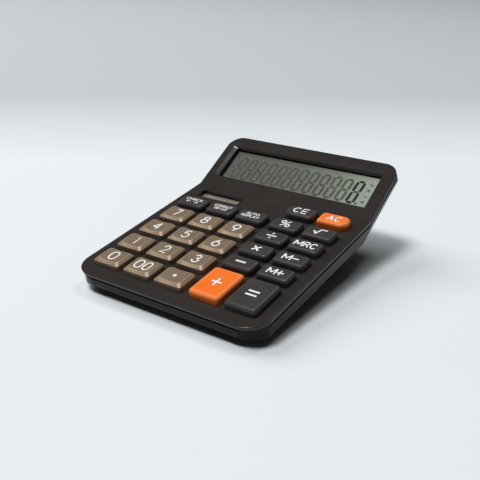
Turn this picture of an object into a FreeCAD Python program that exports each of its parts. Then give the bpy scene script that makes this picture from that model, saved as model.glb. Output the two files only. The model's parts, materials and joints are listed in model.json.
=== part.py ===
import FreeCAD, Part
import math
import os
from FreeCAD import Placement, Rotation, Vector

# Desk calculator: a bent upper case with a key deck and a raised display head, on a lower case with feet.
# Millimetres, +X right, +Y to the back, +Z up. The origin is on the table under the middle of the case.
# Deck frame: x across, y up the deck from its front edge, z out of the deck.
# Head frame: the same on the raised head, from the fold.

driving_sizes = [
    ("case_width", 145.0, "outside width of both cases"),
    ("deck_length", 138.2, "front edge to fold, along the deck"),
    ("head_length", 53.8, "fold to rear edge, along the head"),
    ("deck_tilt", 8.5, "deck to table, degrees"),
    ("head_tilt", 22.2, "head to deck, degrees"),
    ("front_height", 14.0, "front edge of the deck above the table"),
    ("front_place", -93.71, "front edge of the deck, from the origin"),
    ("fold_radius", 10.0, "radius of the valley between deck and head"),
    ("front_corner", 15.5, "corner radius at the front"),
    ("back_corner", 11.5, "corner radius at the back"),
    ("lower_corner", 18.5, "corner radius of the lower case at the front"),
    ("rim_radius", 0.65, "rounding of the upper case's rim and of the lower case's upper edge"),
    ("rim_depth", 0.8, "depth of the upper case's rim, down to the groove under it"),
    ("groove_width", 0.5, "groove under the rim"),
    ("groove_depth", 0.6, "groove under the rim, from the outside"),
    ("skirt_step", 0.35, "edge under the groove, set in from the rim"),
    ("wall", 2.0, "wall of both cases"),
    ("skirt_depth", 2.3, "depth of the upper case's edge"),
    ("seam_gap", 0.6, "open seam between the two cases"),
    ("side_chine", 10.8, "lower edge of the side band under the deck surface, at the front"),
    ("side_taper", 0.75, "side band growing deeper to the back, degrees"),
    ("front_chine", 8.4, "lower edge of the front band under the deck surface"),
    ("head_chine", 8.2, "lower edge of the side band under the head surface"),
    ("head_depth", 10.2, "head surface to the underside of the head"),
    ("base_height", 1.5, "flat underside above the table"),
    ("base_front", 14.0, "where the flat underside starts, along the deck"),
    ("base_back", 132.0, "where the flat underside ends, along the deck"),
    ("foot_radius", 4.5, "rubber foot"),
    ("foot_thickness", 2.0, "rubber foot, partly let into the underside"),
    ("key_rise", 4.75, "key top above the deck"),
    ("key_travel", 1.6, "key stroke"),
    ("key_clearance", 0.4, "gap between key and aperture, each side"),
    ("numeral_corner", 1.9, "corner radius of a numeral key"),
    ("bar_corner", 2.8, "corner radius of a function key"),
    ("key_wall", 1.5, "wall of the hollow key"),
    ("key_round", 1.7, "rounding of a bar key's top edge"),
    ("flange_overhang", 0.7, "key flange beyond the key, each side"),
    ("flange_thickness", 0.9, "key flange under the deck"),
    ("flange_gap", 0.1, "key flange to the underside of the deck, at rest"),
    ("plunger_radius", 2.5, "post in the key that presses the dome"),
    ("numeral_width", 21.5, "numeral key across"),
    ("numeral_length", 16.6, "numeral key along the deck"),
    ("numeral_shoulder", 2.9, "foot of a numeral key's bevel above the deck"),
    ("side_bevel", 2.25, "how far a numeral key's bevel leans in at the sides"),
    ("front_bevel", 2.3, "the same at the front"),
    ("back_bevel", 1.2, "the same at the back"),
    ("top_corner", 2.6, "corner radius of a numeral key's top"),
    ("dish_depth", 0.8, "hollow in the top of a numeral key"),
    ("bar_width", 22.4, "function key across"),
    ("bar_length", 13.2, "function key along the deck"),
    ("tall_length", 29.5, "tall function key along the deck"),
    ("end_radius", 6.0, "round end of the two clearing keys"),
    ("first_column", -51.95, "left numeral column"),
    ("column_pitch", 25.55, "numeral columns"),
    ("function_column", 26.8, "left function column"),
    ("function_pitch", 25.8, "function columns"),
    ("first_row", 19.4, "front numeral row, from the front edge"),
    ("row_pitch", 21.8, "numeral rows"),
    ("tall_row", 25.55, "tall keys, from the front edge"),
    ("bar_row", 50.8, "front row of function keys, from the front edge"),
    ("bar_pitch", 17.8, "rows of function keys"),
    ("top_row", 124.4, "clearing keys and solar strip, from the front edge"),
    ("dome_core", 1.2, "rubber dome above its sheet when it is pressed flat"),
    ("dome_radius", 4.6, "rubber dome at its foot"),
    ("sheet_thickness", 0.9, "rubber sheet"),
    ("board_thickness", 1.6, "circuit board"),
    ("display_width", 124.8, "display opening"),
    ("display_height", 30.6, "display opening, along the head"),
    ("display_start", 11.6, "display opening from the fold"),
    ("display_depth", 2.6, "display window under the head surface"),
    ("slope_depth", 1.0, "foot of the slope round the display opening, under the head surface"),
    ("display_side", 4.6, "slope at the sides of the display opening"),
    ("display_end", 1.7, "slope at the two long edges of the display opening"),
    ("slope_corner", 2.6, "corner radius of the slope at the head surface"),
    ("opening_corner", 0.6, "corner radius of the slope at its foot"),
    ("window_thickness", 1.0, "clear windows"),
    ("glass_thickness", 1.0, "each glass of the display"),
    ("solar_width", 36.4, "solar opening"),
    ("solar_height", 9.4, "solar opening, along the deck"),
    ("solar_centre", -43.3, "solar opening across"),
    ("cell_radius", 7.25, "standard AA cell"),
    ("cell_length", 49.2, "standard AA cell without its button"),
    ("button_length", 1.3, "button of the cell"),
    ("door_width", 55.6, "battery door"),
    ("door_length", 20.0, "battery door"),
    ("door_thickness", 1.85, "battery door"),
]

doc = FreeCAD.newDocument("desk_calculator")
sheet = doc.addObject("Spreadsheet::Sheet", "Sheet")
for line, (name, value, note) in enumerate(driving_sizes, start=1):
    sheet.set("A%d" % line, name)
    sheet.set("B%d" % line, str(value))
    sheet.set("C%d" % line, note)
    sheet.setAlias("B%d" % line, name)
doc.recompute()
size = {name: float(sheet.get(name)) for name, value, note in driving_sizes}

dome_height = size["key_travel"] + size["dome_core"]
overshoot = 1.0  # how far a cutting block runs past the face it cuts

world = Placement()
across = Vector(1, 0, 0)
tilt = math.radians(size["deck_tilt"])
bend = math.radians(size["head_tilt"])
front_point = Vector(0, size["front_place"], size["front_height"])
deck = Placement(front_point, Rotation(across, size["deck_tilt"]))
head = deck.multiply(Placement(Vector(0, size["deck_length"], 0), Rotation(across, size["head_tilt"])))
nodes = {}


def keep(item, label):
    # Names a finished sub-part.
    item.Label = label
    nodes[label] = item
    return item


def bind(item, sizes):
    # Binds properties to cells of the sheet, or sets plain numbers.
    for prop, value in sizes.items():
        if isinstance(value, str):
            item.setExpression(prop, value)
        else:
            setattr(item, prop, value)
    item.recompute()
    return item


def box(name, frame, centre, bottom, length, width, height):
    item = bind(doc.addObject("Part::Box", name), {"Length": length, "Width": width, "Height": height})
    corner = Vector(centre[0] - item.Length.Value / 2, centre[1] - item.Width.Value / 2, bottom)
    item.Placement = frame.multiply(Placement(corner, Rotation()))
    return item


def cylinder(name, frame, centre, bottom, radius, height):
    item = bind(doc.addObject("Part::Cylinder", name), {"Radius": radius, "Height": height})
    item.Placement = frame.multiply(Placement(Vector(centre[0], centre[1], bottom), Rotation()))
    return item


def fuse(name, items):
    item = doc.addObject("Part::MultiFuse", name)
    item.Shapes = items
    return item


def cut(name, base, tools):
    item = doc.addObject("Part::Cut", name)
    item.Base = base
    item.Tool = tools[0] if len(tools) == 1 else fuse(name + "Tools", tools)
    return item


def group(name, items):
    item = doc.addObject("Part::Compound", name)
    item.Links = items
    return item


def new_body(name, frame):
    body = doc.addObject("PartDesign::Body", name)
    body.Placement = frame
    return body


def sketch_on(body, name, role, curves, offset=Placement()):
    # A sketch on one of the body's own planes.
    sketch = body.newObject("Sketcher::SketchObject", name)
    plane = [item for item in body.Origin.OriginFeatures if item.Role == role][0]
    sketch.AttachmentSupport = [(plane, "")]
    sketch.MapMode = "FlatFace"
    sketch.AttachmentOffset = offset
    sketch.addGeometry(curves, False)
    return sketch


def pad(body, sketch, length, side="Symmetric"):
    item = body.newObject("PartDesign::Pad", sketch.Name + "Pad")
    item.Profile = sketch
    item.SideType = side
    return bind(item, {"Length": length})


def pocket_through(body, sketch):
    doc.recompute()
    before = body.Shape.Volume
    item = body.newObject("PartDesign::Pocket", sketch.Name + "Pocket")
    item.Profile = sketch
    item.SideType = "Symmetric"
    item.Type = "ThroughAll"
    doc.recompute()
    if body.Shape.Volume > before - 1.0:
        raise RuntimeError(sketch.Name + " cut nothing")
    return item


def round_edges(body, name, base, radius, test):
    # Rounds the edges of the base feature that pass the test.
    doc.recompute()
    edges = ["Edge%d" % (i + 1) for i, edge in enumerate(base.Shape.Edges) if test(edge)]
    item = body.newObject("PartDesign::Fillet", name)
    item.Base = (base, edges)
    return bind(item, {"Radius": radius})


def polyline(points):
    # Closed outline. A point may carry a middle point, which makes the stretch from it an arc.
    curves = []
    for i, point in enumerate(points):
        following = points[(i + 1) % len(points)]
        begin = Vector(point[0], point[1], 0)
        finish = Vector(following[0], following[1], 0)
        if len(point) == 3:
            middle = Vector(point[2][0], point[2][1], 0)
            curves.append(Part.Arc(begin, middle, finish))
        else:
            curves.append(Part.LineSegment(begin, finish))
    return curves


def mirrored(points):
    # The same outline on the left, with its middle points.
    turned = []
    for point in points:
        turned.append((-point[0], point[1]) + tuple((-middle[0], middle[1]) for middle in point[2:]))
    return turned


def rounded_rectangle(width, length, radius):
    x, y = width / 2, length / 2
    near = radius * (1 - math.sqrt(0.5))
    outline = []
    for sx, sy, along in ((1, -1, 0), (1, 1, 1), (-1, 1, 0), (-1, -1, 1)):
        first = (sx * (x - radius), sy * y)
        second = (sx * x, sy * (y - radius))
        middle = (sx * (x - near), sy * (y - near))
        begin, finish = (first, second) if along == 0 else (second, first)
        outline.append(begin + (middle,))
        outline.append(finish)
    return outline


def on_head(length, rise):
    # A point of the head, in the deck's own side view.
    y = size["deck_length"] + length * math.cos(bend) - rise * math.sin(bend)
    return (y, length * math.sin(bend) + rise * math.cos(bend))


fold_centre = (size["deck_length"] - size["fold_radius"] * math.tan(bend / 2), size["fold_radius"])


def fold_point(rise, share):
    # A point of the bend at a height over the surface, from 0 at the deck to 1 at the head.
    radius = size["fold_radius"] - rise
    angle = bend * share
    return (fold_centre[0] + radius * math.sin(angle), fold_centre[1] - radius * math.cos(angle))


def surface_offset(y, z):
    # Height of a point over the deck, the bend or the head.
    angle = math.atan2(y - fold_centre[0], fold_centre[1] - z)
    if angle <= 0:
        return z
    if angle <= bend:
        return size["fold_radius"] - math.hypot(y - fold_centre[0], fold_centre[1] - z)
    return z * math.cos(bend) - (y - size["deck_length"]) * math.sin(bend)


def bent_line(rise, inset):
    # From the front to the back at one height over the surface.
    start = (inset, rise)
    finish = on_head(size["head_length"] - inset, rise)
    return [start, fold_point(rise, 0) + (fold_point(rise, 0.5),), fold_point(rise, 1), finish]


def reverse_line(rise, inset):
    start, deck_end, head_end, finish = bent_line(rise, inset)
    return [finish, head_end + (deck_end[2],), deck_end[:2], start]


def corner_ear(half_width, edge, radius, outward):
    # What a rounded plan corner takes off a square one, on the right.
    centre = (half_width - radius, edge - outward * radius)
    reach = radius * math.sqrt(0.5)
    beyond = edge + outward * overshoot
    return [
        (half_width, centre[1], (centre[0] + reach, centre[1] + outward * reach)),
        (centre[0], edge),
        (centre[0], beyond),
        (half_width + overshoot, beyond),
        (half_width + overshoot, centre[1]),
    ]


def round_plan(body, name, inset, front_corner):
    # Rounds the four plan corners, square to the deck in front and square to the head behind.
    half = size["case_width"] / 2 - inset
    front = corner_ear(half, inset, size[front_corner] - inset, -1)
    back = corner_ear(half, size["head_length"] - inset, size["back_corner"] - inset, 1)
    on_deck = sketch_on(body, name + "Front", "XY_Plane", polyline(front) + polyline(mirrored(front)))
    pocket_through(body, on_deck)
    turn = Placement(Vector(0, size["deck_length"], 0), Rotation(across, size["head_tilt"]))
    behind = sketch_on(body, name + "Back", "XY_Plane", polyline(back) + polyline(mirrored(back)), turn)
    return pocket_through(body, behind)


def bent_slab(name, top, bottom, inset):
    # A slab that follows deck, bend and head between two heights.
    body = new_body(name, deck)
    outline = bent_line(top, inset) + reverse_line(bottom, inset)
    profile = sketch_on(body, name + "Side", "YZ_Plane", polyline(outline))
    pad(body, profile, "Sheet.case_width - 2 * %s" % inset)
    round_plan(body, name, inset, "front_corner")
    return body


def outer_edge(level):
    # Picks the outer edge of a case at one height, without the two lines where the bend starts and ends.
    def test(edge):
        if edge.Length > size["case_width"] - 1.0:
            return False
        for share in (0.0, 0.5, 1.0):
            parameter = edge.FirstParameter + share * (edge.LastParameter - edge.FirstParameter)
            point = edge.valueAt(parameter)
            if abs(surface_offset(point.y, point.z) - level) > 0.001:
                return False
        return True
    return test


lower_top = -size["skirt_depth"] - size["seam_gap"]


def base_level(y, height):
    # The deck frame's height of a level line over the table.
    return (height - size["front_height"] - y * math.sin(tilt)) / math.cos(tilt)


def chine_section(chine, thickness):
    # The round lower edge of the lower case's band: set-in and level of its start, middle and end.
    # Inside, each point is lifted by a share of the wall, so that the slanting walls keep their thickness.
    return [
        (0.5, 1.4 - chine + 0.4 * thickness),
        (0.85, 0.15 - chine + 0.45 * thickness),
        (2.0, -0.8 - chine + 0.5 * thickness),
    ]


def band_ear(edge, chine, thickness):
    # What the lower case's slanting sides take off, on the right: a leaning band, a round chine, an undercut.
    undercut_slope = 1.05
    depth = 45.0
    start, middle, finish = [(edge - inset, level) for inset, level in chine_section(chine, thickness)]
    low = (finish[0] - undercut_slope * depth, finish[1] - depth)
    outside = edge + overshoot
    return [(edge, lower_top), start + (middle,), finish, low, (outside, low[1]), (outside, lower_top)]


def hull(name, top, thickness):
    # The lower case's outside, or its inside when a thickness is given.
    body = new_body(name, deck)
    front = chine_section(size["front_chine"], thickness)
    toe = [(thickness + further - front[0][0], level) for further, level in front]
    base = size["base_height"] + thickness
    base_start = size["base_front"] + 0.2 * thickness
    base_finish = size["base_back"] - thickness
    rear = size["head_length"] - thickness
    under = -size["head_depth"] + thickness
    heel = [on_head(rear - further, under + rise) for further, rise in ((2.2, 0.0), (0.6, 0.7), (0.0, 2.2))]
    underside = [
        toe[0] + (toe[1],),
        toe[2],
        (base_start, base_level(base_start, base)),
        (base_finish, base_level(base_finish, base)),
        on_head(-0.8 * thickness, under),
        heel[0] + (heel[1],),
        heel[2],
    ]
    profile = sketch_on(body, name + "Side", "YZ_Plane", polyline(reverse_line(top, thickness) + underside))
    pad(body, profile, "Sheet.case_width - 2 * %s" % thickness)
    plan = round_plan(body, name, thickness, "lower_corner")
    if thickness == 0:
        round_edges(body, name + "Rim", plan, "Sheet.rim_radius", outer_edge(top))
    edge = size["case_width"] / 2 - thickness
    turn = Placement(Vector(0, 0, -size["deck_length"]), Rotation(across, size["head_tilt"]))
    taper = Placement(Vector(), Rotation(across, -size["side_taper"]))
    for band, chine, offset in (("DeckBand", "side_chine", taper), ("HeadBand", "head_chine", turn)):
        ear = band_ear(edge, size[chine], thickness)
        pocket_through(body, sketch_on(body, name + band, "XZ_Plane", polyline(ear) + polyline(mirrored(ear)),
                                       offset))
    return body


# Keys: name, place across, place along the deck, form and the side of a round end.
numeral_columns = [size["first_column"] + i * size["column_pitch"] for i in range(3)]
function_columns = [size["function_column"] + i * size["function_pitch"] for i in range(2)]
numeral_rows = [size["first_row"] + i * size["row_pitch"] for i in range(4)]
bar_rows = [size["bar_row"] + i * size["bar_pitch"] for i in range(4)]
numeral_names = [("0", "00", "point"), ("1", "2", "3"), ("4", "5", "6"), ("7", "8", "9")]
bar_names = [("minus", "m_plus"), ("times", "m_minus"), ("divide", "mrc"), ("percent", "root")]
keys = []
for row, names in zip(numeral_rows, numeral_names):
    for column, name in zip(numeral_columns, names):
        keys.append(("key_" + name, column, row, "numeral", 0))
for column, name in zip(numeral_columns, ("check", "correct", "replay")):
    keys.append(("key_" + name, column, bar_rows[3], "bar", 0))
for row, names in zip(bar_rows, bar_names):
    for column, name in zip(function_columns, names):
        keys.append(("key_" + name, column, row, "bar", 0))
for column, name in zip(function_columns, ("plus", "equals")):
    keys.append(("key_" + name, column, size["tall_row"], "tall", 0))
for column, name, side in zip(function_columns, ("ce", "ac"), (-1, 1)):
    keys.append(("key_" + name, column, size["top_row"], "bar", side))

key_sizes = {
    "numeral": ("Sheet.numeral_width", "Sheet.numeral_length", "Sheet.numeral_corner"),
    "bar": ("Sheet.bar_width", "Sheet.bar_length", "Sheet.bar_corner"),
    "tall": ("Sheet.bar_width", "Sheet.tall_length", "Sheet.bar_corner"),
}
flange_top = -size["wall"] - size["flange_gap"]
key_bottom = flange_top - size["flange_thickness"]


def body_box(body, kind, name, bottom, length, width, height):
    # A block centred on the body's axis.
    item = body.newObject("PartDesign::%sBox" % kind, name)
    bind(item, {"Length": length, "Width": width, "Height": height})
    item.Placement = Placement(Vector(-item.Length.Value / 2, -item.Width.Value / 2, bottom), Rotation())
    return item


def body_cylinder(body, kind, name, place, radius, height):
    item = body.newObject("PartDesign::%sCylinder" % kind, name)
    bind(item, {"Radius": radius, "Height": height})
    item.Placement = place
    return item


def ruled_loft(body, name, sections):
    loft = body.newObject("PartDesign::AdditiveLoft", name)
    loft.Profile = sections[0]
    loft.Sections = sections[1:]
    loft.Ruled = True
    return loft


def upright(side=0):
    # Picks upright edges: all, or only those on one side.
    def test(edge):
        first, last = edge.Vertexes[0].Point, edge.Vertexes[-1].Point
        straight = abs(first.x - last.x) < 0.001 and abs(first.y - last.y) < 0.001
        return straight and (side == 0 or first.x * side > 0)
    return test


def at_height(level):
    return lambda edge: all(abs(vertex.Z - level) < 0.001 for vertex in edge.Vertexes)


def round_corners(body, name, base, side, corner, extra):
    # Upright corners of a key or of its aperture, with a wide round end where the key has one.
    small = "%s + %s" % (corner, extra)
    if side == 0:
        return round_edges(body, name + "Corners", base, small, upright())
    wide = round_edges(body, name + "End", base, "Sheet.end_radius + %s" % extra, upright(side))
    return round_edges(body, name + "Corners", wide, small, upright(-side))


def numeral_top(body, label):
    # The leaning sides and the dished top of a numeral key; the top lies nearer to the back.
    top_width = size["numeral_width"] - 2 * size["side_bevel"]
    top_length = size["numeral_length"] - size["front_bevel"] - size["back_bevel"]
    setback = (size["front_bevel"] - size["back_bevel"]) / 2
    shoulder = rounded_rectangle(size["numeral_width"], size["numeral_length"], size["numeral_corner"])
    top = rounded_rectangle(top_width, top_length, size["top_corner"])
    sections = []
    for name, outline, y, level in (
        ("Shoulder", shoulder, 0.0, "numeral_shoulder"),
        ("Top", top, setback, "key_rise"),
    ):
        place = Placement(Vector(0, y, size[level]), Rotation())
        sections.append(sketch_on(body, label + name, "XY_Plane", polyline(outline), place))
    ruled_loft(body, label + "Bevel", sections)
    radius = ((top_width / 2) ** 2 + size["dish_depth"] ** 2) / (2 * size["dish_depth"])
    centre = Vector(0, size["numeral_length"], size["key_rise"] - size["dish_depth"] + radius)
    dish = Placement(centre, Rotation(across, 90))
    body_cylinder(body, "Subtractive", label + "Dish", dish, radius, "2 * Sheet.numeral_length")


def make_key(label, x, y, form, side):
    # A hollow cap with a flange under the deck and a post on the rubber dome.
    width, length, corner = key_sizes[form]
    body = new_body(label, deck.multiply(Placement(Vector(x, y, 0), Rotation())))
    rise = "Sheet.numeral_shoulder" if form == "numeral" else "Sheet.key_rise"
    cap = body_box(body, "Additive", label + "Cap", key_bottom, width, length, "%s - %s" % (rise, key_bottom))
    cap = round_corners(body, label, cap, side, corner, 0)
    if form == "numeral":
        numeral_top(body, label)
    else:
        round_edges(body, label + "Top", cap, "Sheet.key_round", at_height(size["key_rise"]))
    flange = "%s + 2 * Sheet.flange_overhang"
    body_box(body, "Additive", label + "Flange", key_bottom, flange % width, flange % length,
             "Sheet.flange_thickness")
    hollow = "%s - 2 * Sheet.key_wall"
    roof = "Sheet.key_rise - Sheet.key_wall - %s"
    if form == "numeral":
        roof += " - Sheet.dish_depth"
    body_box(body, "Subtractive", label + "Hollow", key_bottom, hollow % width, hollow % length,
             roof % key_bottom)
    post = Placement(Vector(0, 0, key_bottom), Rotation())
    body_cylinder(body, "Additive", label + "Post", post, "Sheet.plunger_radius", roof % key_bottom)
    keep(body, label)


def make_aperture(label, x, y, form, side):
    # The opening in the deck that a key moves in.
    width, length, corner = key_sizes[form]
    grown = "%s + 2 * Sheet.key_clearance"
    body = new_body(label + "Aperture", deck.multiply(Placement(Vector(x, y, 0), Rotation())))
    block = body_box(body, "Additive", label + "Opening", -size["wall"] - overshoot, grown % width,
                     grown % length, "Sheet.wall + %s" % (2 * overshoot))
    round_corners(body, label + "Opening", block, side, corner, "Sheet.key_clearance")
    return body


for key in keys:
    make_key(*key)

# Screws: places in the deck or head frame, at the outer edge of the case and in the gaps between the keys.
case_screw_places = [(side * 67.05, y) for side in (-1, 1) for y in (13.6, 59.7, 113.4)]
board_screw_places = [(-40.0, 8.0), (0.0, 8.0), (40.0, 8.0), (12.5, 124.4), (-12.0, 115.6)]
holder_screw_places = [(side * 45.0, y) for side in (-1, 1) for y in (4.6, 48.0)]

# Levels of the layers: key post, dome, rubber sheet and board under the deck, then the stack of the display.
dome_play = 0.2
layer_gap = 0.1
solder_gap = 0.05
board_top = key_bottom - dome_play - dome_height - size["sheet_thickness"]
board_bottom = board_top - size["board_thickness"]
window_bottom = -size["display_depth"] - size["window_thickness"]
front_glass_bottom = window_bottom - layer_gap - size["glass_thickness"]
rear_glass_bottom = front_glass_bottom - size["glass_thickness"]
reflector_thickness = 0.25
holder_top = rear_glass_bottom - reflector_thickness - layer_gap
holder_thickness = 1.2
holder_seat = holder_top - holder_thickness

# Screws: seat is the face under the head, pilot the hole that the thread cuts into.
case_screw = {"seat": -10.4, "shank": 0.95, "head": 1.9, "head_height": 1.2, "pilot": 1.0}
board_screw = {"seat": board_bottom, "shank": 0.7, "head": 1.5, "head_height": 0.7, "pilot": 0.75}
holder_screw = {"seat": holder_seat, "shank": 0.7, "head": 1.5, "head_height": 0.9, "pilot": 0.75}
screw_tip = -3.4
pilot_end = -3.0
boss_radius = 2.3
post_radius = 1.9
boss_seam = -7.5


def make_screws(label, frame, places, screw):
    # Pan-head screws driven from below.
    screws = []
    for i, place in enumerate(places):
        name = "%s%d" % (label, i)
        seat = screw["seat"]
        shank = cylinder(name + "Shank", frame, place, seat, screw["shank"], screw_tip - seat)
        top = cylinder(name + "Head", frame, place, seat - screw["head_height"], screw["head"],
                       screw["head_height"])
        screws.append(fuse(name, [shank, top]))
    keep(group(label, screws), label)


make_screws("case_screws", deck, case_screw_places, case_screw)
make_screws("board_screws", deck, board_screw_places, board_screw)
make_screws("holder_screws", head, holder_screw_places, holder_screw)


display_middle = size["display_start"] + size["display_height"] / 2


def display_block(name, grow, bottom, height):
    # A block on the middle of the display.
    return box(name, head, (0, display_middle), bottom, "Sheet.display_width + %s" % (2 * grow),
               "Sheet.display_height + %s" % (2 * grow), height)


def display_recess():
    # The slope round the display opening, with rounded corners.
    body = new_body("DisplayRecess", head.multiply(Placement(Vector(0, display_middle, 0), Rotation())))
    sections = []
    for i, level in enumerate((-size["slope_depth"], 0.0, overshoot)):
        share = 1.0 + level / size["slope_depth"]
        width = size["display_width"] + 2 * share * size["display_side"]
        length = size["display_height"] + 2 * share * size["display_end"]
        corner = size["opening_corner"] + share * (size["slope_corner"] - size["opening_corner"])
        place = Placement(Vector(0, 0, level), Rotation())
        outline = rounded_rectangle(width, length, corner)
        sections.append(sketch_on(body, "RecessSection%d" % i, "XY_Plane", polyline(outline), place))
    ruled_loft(body, "RecessLoft", sections)
    return body


# The thin wall on the lower case that stands inside the upper case's edge.
lip = {"top": -2.15, "bottom": -7.0, "thickness": 0.8, "inset": 1.8, "gap": 0.1}
frame_margin = 5.4
merge = 0.5  # how far an added block runs into the wall that carries it
solar_place = (size["solar_centre"], size["top_row"])


def make_upper_case():
    groove_top = -size["rim_depth"]
    groove_bottom = groove_top - size["groove_width"]
    rim = bent_slab("UpperRim", 0.0, groove_top, 0.0)
    round_edges(rim, "Rim", rim.Tip, "Sheet.rim_radius", outer_edge(0.0))
    groove = bent_slab("UpperGroove", groove_top, groove_bottom, size["groove_depth"])
    skirt = bent_slab("UpperSkirt", groove_bottom, -size["skirt_depth"], size["skirt_step"])
    inside = bent_slab("UpperInside", -size["wall"], -size["skirt_depth"] - overshoot,
                       lip["inset"] - lip["gap"])
    shell = cut("UpperShell", fuse("UpperOutside", [rim, groove, skirt]), [inside])
    frame = display_block("DisplayFrame", frame_margin, -size["display_depth"], "Sheet.display_depth - 1")
    opening_height = "Sheet.display_depth + Sheet.window_thickness - Sheet.slope_depth + %s" % layer_gap
    opening = display_block("DisplayOpening", 0.0, window_bottom, opening_height)
    added = [shell, frame]
    taken = [display_recess(), opening]
    inner_face = -size["wall"] + merge
    for name, place_frame, places, foot, radius, pilot in (
        ("CaseBoss", deck, case_screw_places, boss_seam, boss_radius, case_screw["pilot"]),
        ("BoardPost", deck, board_screw_places, board_top, post_radius, board_screw["pilot"]),
        ("HolderPost", head, holder_screw_places, holder_top, post_radius, holder_screw["pilot"]),
    ):
        for i, place in enumerate(places):
            added.append(cylinder("%s%d" % (name, i), place_frame, place, foot, radius, inner_face - foot))
            taken.append(cylinder("%sPilot%d" % (name, i), place_frame, place, foot - overshoot, pilot,
                                  pilot_end - foot + overshoot))
    taken.append(box("SolarOpening", deck, solar_place, -size["wall"] - overshoot, "Sheet.solar_width",
                     "Sheet.solar_height", "Sheet.wall + %s" % (2 * overshoot)))
    taken += [make_aperture(*key) for key in keys]
    keep(cut("UpperCase", fuse("UpperSolid", added), taken), "upper_case")


make_upper_case()

# The battery lies across the back of the base, behind a bay wall and above a sliding door.
base_end_height = base_level(size["base_back"], size["base_height"])
base_end = deck.multVec(Vector(0, size["base_back"], base_end_height)).y
floor_top = size["base_height"] + size["wall"]
bay_length = 55.4
bay_width = 2 * size["cell_radius"] + 1.9
bay_roof = floor_top + 2 * size["cell_radius"] + 0.9
bay_wall = 1.4
bay_end_wall = 3.5
cell_y = base_end - size["wall"] - bay_width / 2 - 0.6
cell_z = floor_top + size["cell_radius"] + 0.3
contact_set_in = 0.3
contact_reach = bay_length / 2 - contact_set_in
tab_width = 6.0
tab_slot = (0.9, tab_width + 0.8)
tab_top = bay_roof + bay_wall + 1.2
door_y = base_end - size["door_length"] / 2
door_gap = 0.4
rail_width = 1.6
rail_level = 0.9
foot_places = [(-52.0, -72.0), (52.0, -72.0), (-44.0, 30.0), (44.0, 30.0)]
foot_names = ["foot_front_left", "foot_front_right", "foot_rear_left", "foot_rear_right"]
toe_corner = {"across": 54.2, "along": 25.3, "radius": 11.5, "slope": 3.3, "height": 6.0, "reach": 26.0}
lower_boss = {"bottom": -12.2, "radius": 2.9, "hole": 1.15, "well": 2.1, "well_depth": 12.0}


def make_seam_lip():
    top, bottom = lip["top"], lip["bottom"]
    outside = bent_slab("LipOutside", top, bottom, lip["inset"])
    inside = bent_slab("LipInside", top + overshoot, bottom - overshoot, lip["inset"] + lip["thickness"])
    return cut("SeamLip", outside, [inside])


def make_door_slot():
    # A slot with side grooves, open at the back.
    slot_length = size["door_length"] + door_gap + 2 * size["wall"] + 2 * overshoot
    slot_y = base_end - size["door_length"] - door_gap + slot_length / 2
    slot_width = "Sheet.door_width + %s" % door_gap
    slot = box("DoorSlot", world, (0, slot_y), 0.0, slot_width, slot_length,
               size["base_height"] + rail_level + layer_gap)
    groove_width = "%s + %s" % (slot_width, 2 * rail_width)
    grooves = box("DoorGrooves", world, (0, slot_y), size["base_height"] + rail_level, groove_width,
                  slot_length, "Sheet.wall - %s" % (rail_level - solder_gap))
    return [slot, grooves]


def make_toe_corner(name, side):
    # What rounds the underside's front corner: a block outside a cone that widens upwards.
    x, y = side * toe_corner["across"], size["front_place"] + toe_corner["along"]
    reach, height = toe_corner["reach"], toe_corner["height"]
    block = box(name + "Block", world, (x + side * reach / 2, y - reach / 2), 0.0, reach, reach, height)
    cone = doc.addObject("Part::Cone", name + "Cone")
    low = toe_corner["radius"] - toe_corner["slope"] * size["base_height"]
    bind(cone, {"Radius1": low, "Radius2": low + toe_corner["slope"] * height, "Height": height})
    cone.Placement = Placement(Vector(x, y, 0), Rotation())
    return cut(name, block, [cone])


def make_lower_case():
    outside = hull("LowerOutside", lower_top, 0.0)
    inside = hull("LowerInside", lower_top + 2 * overshoot, size["wall"])
    shell = cut("LowerShell", outside, [inside])
    added = [shell, make_seam_lip()]
    taken = []
    for i, place in enumerate(case_screw_places):
        bottom = lower_boss["bottom"]
        added.append(cylinder("LowerBoss%d" % i, deck, place, bottom, lower_boss["radius"],
                              boss_seam - layer_gap - bottom))
        taken.append(cylinder("ScrewHole%d" % i, deck, place, bottom - overshoot, lower_boss["hole"],
                              boss_seam - bottom + 2 * overshoot))
        taken.append(cylinder("HeadWell%d" % i, deck, place, case_screw["seat"] - lower_boss["well_depth"],
                              lower_boss["well"], lower_boss["well_depth"]))
    bay_height = bay_roof - floor_top
    added.append(box("BayBlock", world, (0, cell_y), floor_top - merge, bay_length + 2 * bay_end_wall,
                     bay_width + 2 * bay_wall, bay_height + bay_wall + merge))
    taken.append(box("BaySpace", world, (0, cell_y), floor_top - overshoot, bay_length, bay_width,
                     bay_height + overshoot))
    taken += make_door_slot()
    for side, name in ((-1, "Left"), (1, "Right")):
        taken.append(make_toe_corner(name + "Toe", side))
        taken.append(box(name + "TabSlot", world, (side * contact_reach, cell_y), bay_roof - merge,
                         tab_slot[0], tab_slot[1], bay_wall + 2 * merge))
    for i, place in enumerate(foot_places):
        taken.append(cylinder("FootSeat%d" % i, world, place, 0.0, "Sheet.foot_radius + %s" % layer_gap,
                              "Sheet.foot_thickness"))
    keep(cut("LowerCase", fuse("LowerSolid", added), taken), "lower_case")


make_lower_case()

foot_edge = 0.6
for name, place in zip(foot_names, foot_places):
    body = new_body(name, Placement(Vector(place[0], place[1], 0), Rotation()))
    pad_foot = body_cylinder(body, "Additive", name + "Pad", Placement(), "Sheet.foot_radius",
                             "Sheet.foot_thickness")
    round_edges(body, name + "Edge", pad_foot, foot_edge, at_height(0.0))
    keep(body, name)

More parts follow.
